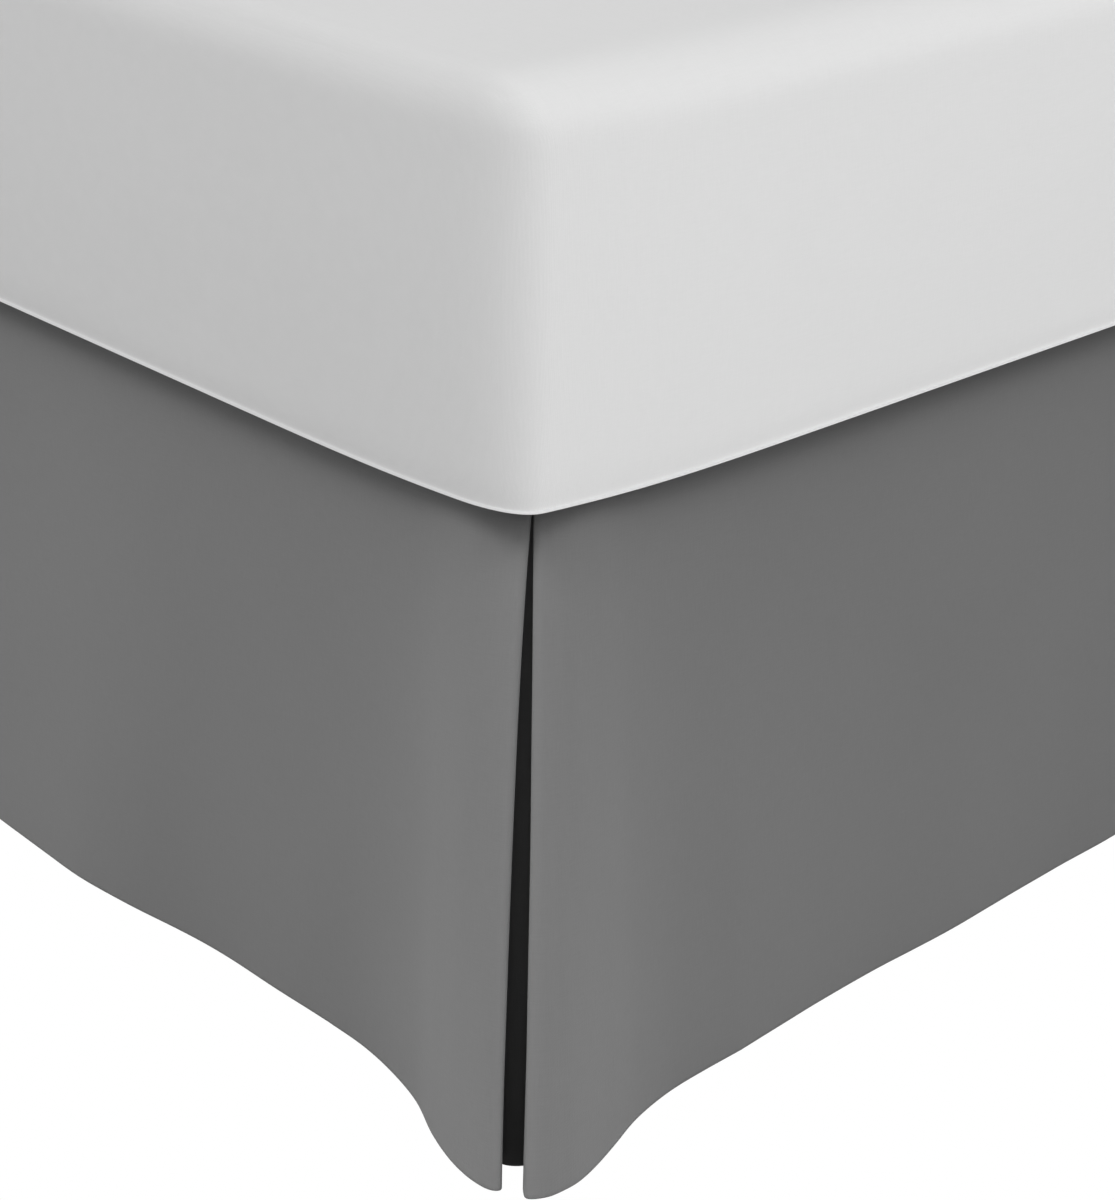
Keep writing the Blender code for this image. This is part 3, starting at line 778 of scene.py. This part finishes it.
bpy.ops.object.mode_set(mode="EDIT")
for axis in (0, 1):
    across_normal = Vector((1.0 - axis, float(axis), 0.0))
    for distance in cuts_between(mattress_half[axis]):
        for end in (-1, 1):
            if end > 0 and abs(distance - mattress_half[axis]) < NEAR:
                continue
            cut_place = mattress_middle + across_normal * end * (mattress_half[axis] - distance)
            bpy.ops.mesh.select_all(action="SELECT")
            bpy.ops.mesh.bisect(plane_co=cut_place, plane_no=across_normal)
lip_cuts = [height for height, *_ in MATTRESS_LIP[1:]]
top_cuts = [2 * mattress_half.z - down for down in MATTRESS_TOP_CUTS]
for height in [*lip_cuts, *MATTRESS_SIDE_CUTS, *top_cuts]:
    bpy.ops.mesh.select_all(action="SELECT")
    bpy.ops.mesh.bisect(plane_co=(0.0, 0.0, mattress_low.z + height),
                        plane_no=(0.0, 0.0, 1.0))
bpy.ops.object.mode_set(mode="OBJECT")


def drawn_in(distance, depth, run, full):
    """How far a side is drawn in at this distance from its corner."""
    u = max(0.0, run - distance) / (run - full)
    return depth * u ** 3 / (1 + u ** 16) ** (3 / 16)


def fade(depth, run):
    """One at the surface, none at this run's depth."""
    return max(0.0, 1 - depth / run) ** 2


def lip_shape(height):
    """How far the cover stands out past the side and down, this high over the underside."""
    for (low, *low_shape), (high, *high_shape) in zip(MATTRESS_LIP, MATTRESS_LIP[1:]):
        if height <= high + NEAR:
            share = (height - low) / (high - low)
            return [a + (b - a) * share for a, b in zip(low_shape, high_shape)]
    return 0.0, 0.0


for point in mattress_piece.data.vertices:
    sharp = point.co - mattress_middle
    inset = [mattress_half[axis] - abs(sharp[axis]) for axis in (0, 1)]
    height = sharp.z + mattress_half.z
    on_side = min(inset) < NEAR
    on_top = sharp.z > mattress_half.z - NEAR
    core = Vector((*(max(-mattress_half[axis] + MATTRESS_CORNER[axis],
                         min(mattress_half[axis] - MATTRESS_CORNER[axis], sharp[axis]))
                     for axis in (0, 1)),
                   min(sharp.z, mattress_half.z - MATTRESS_ROUND)))
    off = sharp - core
    swell = Vector((off.x / MATTRESS_CORNER[0], off.y / MATTRESS_CORNER[1],
                    off.z / MATTRESS_ROUND))
    on_skin = swell.length > NEAR and (on_side or on_top)
    if on_skin or swell.length > 1:
        swell.normalize()
    rounded = core + Vector((swell.x * MATTRESS_CORNER[0], swell.y * MATTRESS_CORNER[1],
                             swell.z * MATTRESS_ROUND))
    if on_side:
        outward = Vector((swell.x / MATTRESS_CORNER[0], swell.y / MATTRESS_CORNER[1], 0.0))
        outward.normalize()
        share = height / (2 * mattress_half.z)
        lip_out, lip_down = lip_shape(height)
        rounded += outward * (lip_out + MATTRESS_BULGE * math.sin(math.pi * min(1.0, share)))
    if on_top:
        rise = [1 - fade(inset[axis], MATTRESS_CROWN_RUN) for axis in (0, 1)]
        rounded.z += MATTRESS_CROWN * rise[0] * rise[1]
    inset = [mattress_half[axis] - abs(rounded[axis]) for axis in (0, 1)]
    draw_x = drawn_in(inset[1], *MATTRESS_DRAW[1]) * fade(inset[0], MATTRESS_DRAW_DEPTH)
    draw_y = drawn_in(inset[0], *MATTRESS_DRAW[0]) * fade(inset[1], MATTRESS_DRAW_DEPTH)
    rounded.x -= math.copysign(draw_x, sharp.x)
    rounded.y -= math.copysign(draw_y, sharp.y)
    if on_side:
        place = mattress_middle + rounded
        past_deck = max(abs(place.x) - deck_high.x, place.y - deck_high.y)
        hangs = max(0.0, min(1.0, past_deck / MATTRESS_LIP_CLEAR)) if place.y > 0 else 1.0
        rounded.z -= lip_down * hangs
    if on_side and height > MATTRESS_LIP[-1][0]:
        soft = noise.noise(sharp * MATTRESS_SOFT_SCALE + Vector((0.0, 0.0, 2.0)))
        rounded += outward * (MATTRESS_SOFT * soft)
    point.co = mattress_middle + rounded
mattress_soft = mattress_piece.modifiers.new("soft cover", "SUBSURF")
mattress_soft.levels = 1
mattress_soft.render_levels = 1
bpy.ops.object.modifier_apply(modifier=mattress_soft.name)
bpy.ops.object.mode_set(mode="EDIT")
bpy.ops.mesh.select_all(action="SELECT")
bpy.ops.mesh.normals_make_consistent(inside=False)
bpy.ops.object.mode_set(mode="OBJECT")
bpy.ops.object.shade_smooth()
mattress_piece.data.materials.append(mattress_cloth)
finish_piece(mattress_piece, "mattress_cloth", "mattress")


# A plain pale studio: a white floor and surround, far soft lamps on each side that are kept
# off the mattress, and an even dome with near boxes that light the mattress alone.
FLOOR_SIZE = 60.0
FLOOR_SEEN = 1.0
FLOOR_BOUNCE = 0.15
FLOOR_ROUGHNESS = 0.9
SURROUND_LIGHT = 0.05
SURROUND_SEEN = 1.0
WHITE = (1.0, 1.0, 1.0, 1.0)

bpy.ops.object.select_all(action="DESELECT")
bpy.ops.mesh.primitive_plane_add(size=FLOOR_SIZE, location=(0.0, 0.0, 0.0))
floor = bpy.context.object
floor.name = "studio_floor"
floor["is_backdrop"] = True
floor_paint, floor_shader, floor_nodes, floor_links = new_material("pale floor",
                                                                FLOOR_ROUGHNESS)
floor_shader.inputs["Base Color"].default_value = (FLOOR_BOUNCE,) * 3 + (1.0,)
floor_glow = floor_nodes.new("ShaderNodeEmission")
floor_glow.inputs["Strength"].default_value = FLOOR_SEEN
floor_mix = floor_nodes.new("ShaderNodeMixShader")
floor_path = floor_nodes.new("ShaderNodeLightPath")
floor_links.new(floor_path.outputs["Is Camera Ray"], floor_mix.inputs["Fac"])
floor_links.new(floor_shader.outputs["BSDF"], floor_mix.inputs[1])
floor_links.new(floor_glow.outputs["Emission"], floor_mix.inputs[2])
floor_links.new(floor_mix.outputs["Shader"],
                floor_nodes["Material Output"].inputs["Surface"])
floor.data.materials.append(floor_paint)

surround = bpy.data.worlds.new("surround")
bpy.context.scene.world = surround
surround.use_nodes = True
sky_nodes, sky_links = surround.node_tree.nodes, surround.node_tree.links
sky_dim = sky_nodes["Background"]
sky_dim.inputs["Color"].default_value = WHITE
sky_dim.inputs["Strength"].default_value = SURROUND_LIGHT
sky_seen = sky_nodes.new("ShaderNodeBackground")
sky_seen.inputs["Color"].default_value = WHITE
sky_seen.inputs["Strength"].default_value = SURROUND_SEEN
sky_path = sky_nodes.new("ShaderNodeLightPath")
sky_mix = sky_nodes.new("ShaderNodeMixShader")
sky_links.new(sky_path.outputs["Is Camera Ray"], sky_mix.inputs["Fac"])
sky_links.new(sky_dim.outputs["Background"], sky_mix.inputs[1])
sky_links.new(sky_seen.outputs["Background"], sky_mix.inputs[2])
sky_links.new(sky_mix.outputs["Shader"], sky_nodes["World Output"].inputs["Surface"])

lit_mattress = bpy.data.collections.new("lit as the mattress")
lit_mattress.objects.link(mattress_piece)
# The inserts are in neither list, so no lamp lights them. What reaches into the slits is the
# surround's faint light and what other surfaces throw back.
lit_skirt = bpy.data.collections.new("lit as the skirt")
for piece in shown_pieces():
    if piece is not mattress_piece and piece not in insert_pieces:
        lit_skirt.objects.link(piece)
lit_skirt.objects.link(floor)


def lamp_outward(azimuth, height):
    """Towards a lamp this far round from the foot side to the right side, and this high."""
    level = math.cos(math.radians(height))
    return Vector((math.sin(math.radians(azimuth)) * level,
                   -math.cos(math.radians(azimuth)) * level,
                   math.sin(math.radians(height))))


def set_lamp(name, kind, place, outward, power, lit):
    """One lamp that shines against outward on the pieces of one list, unseen itself."""
    bpy.ops.object.light_add(type=kind, location=place,
                             rotation=(-outward).to_track_quat("-Z", "Y").to_euler())
    lamp = bpy.context.object
    lamp.name = name
    lamp.data.energy = power
    lamp.visible_camera = False
    lamp.visible_glossy = False
    lamp.light_linking.receiver_collection = lit
    return lamp.data


FAR_PLACE = 5.0
# Name, azimuth and height in degrees, how wide it looks in radians, power, and what it lights.
FAR_LAMPS = (
    ("foot_high", -16, 55, 0.38, 1.49, lit_skirt),
    ("foot_wide", -16, 45, 1.00, 1.61, lit_skirt),
    ("right_high", 106, 55, 0.38, 0.98, lit_skirt),
    ("right_wide", 106, 45, 1.00, 1.80, lit_skirt),
    ("head", 180, 40, 0.60, 3.00, lit_skirt),
    ("left", 270, 40, 0.60, 3.00, lit_skirt),
    ("dome", 0, 90, 3.10, 2.08, lit_mattress),
)
for name, azimuth, height, width, power, lit in FAR_LAMPS:
    outward = lamp_outward(azimuth, height)
    set_lamp(name, "SUN", outward * FAR_PLACE, outward, power, lit).angle = width

BOX_SIZE = (2.2, 1.7)
BOX_DISTANCE = 4.2
CORNER_AIM = Vector((0.4, -0.75, 0.45))
# Name, what it is aimed at, azimuth and height in degrees, and power.
MATTRESS_BOXES = (
    ("foot_box", CORNER_AIM, -25, 38, 23.5),
    ("corner_box", CORNER_AIM, 65, 10, 11.9),
    ("right_box", CORNER_AIM, 95, 10, 44.0),
    ("head_box", Vector((0.0, 1.0, 0.45)), 170, 10, 30.0),
    ("left_box", Vector((-0.75, 0.0, 0.45)), 260, 10, 30.0),
)
for name, aim, azimuth, height, power in MATTRESS_BOXES:
    outward = lamp_outward(azimuth, height)
    box = set_lamp(name, "AREA", aim + outward * BOX_DISTANCE, outward, power, lit_mattress)
    box.shape = "RECTANGLE"
    box.size, box.size_y = BOX_SIZE

bpy.context.scene.view_settings.view_transform = "Standard"
bpy.context.scene.view_settings.look = "None"
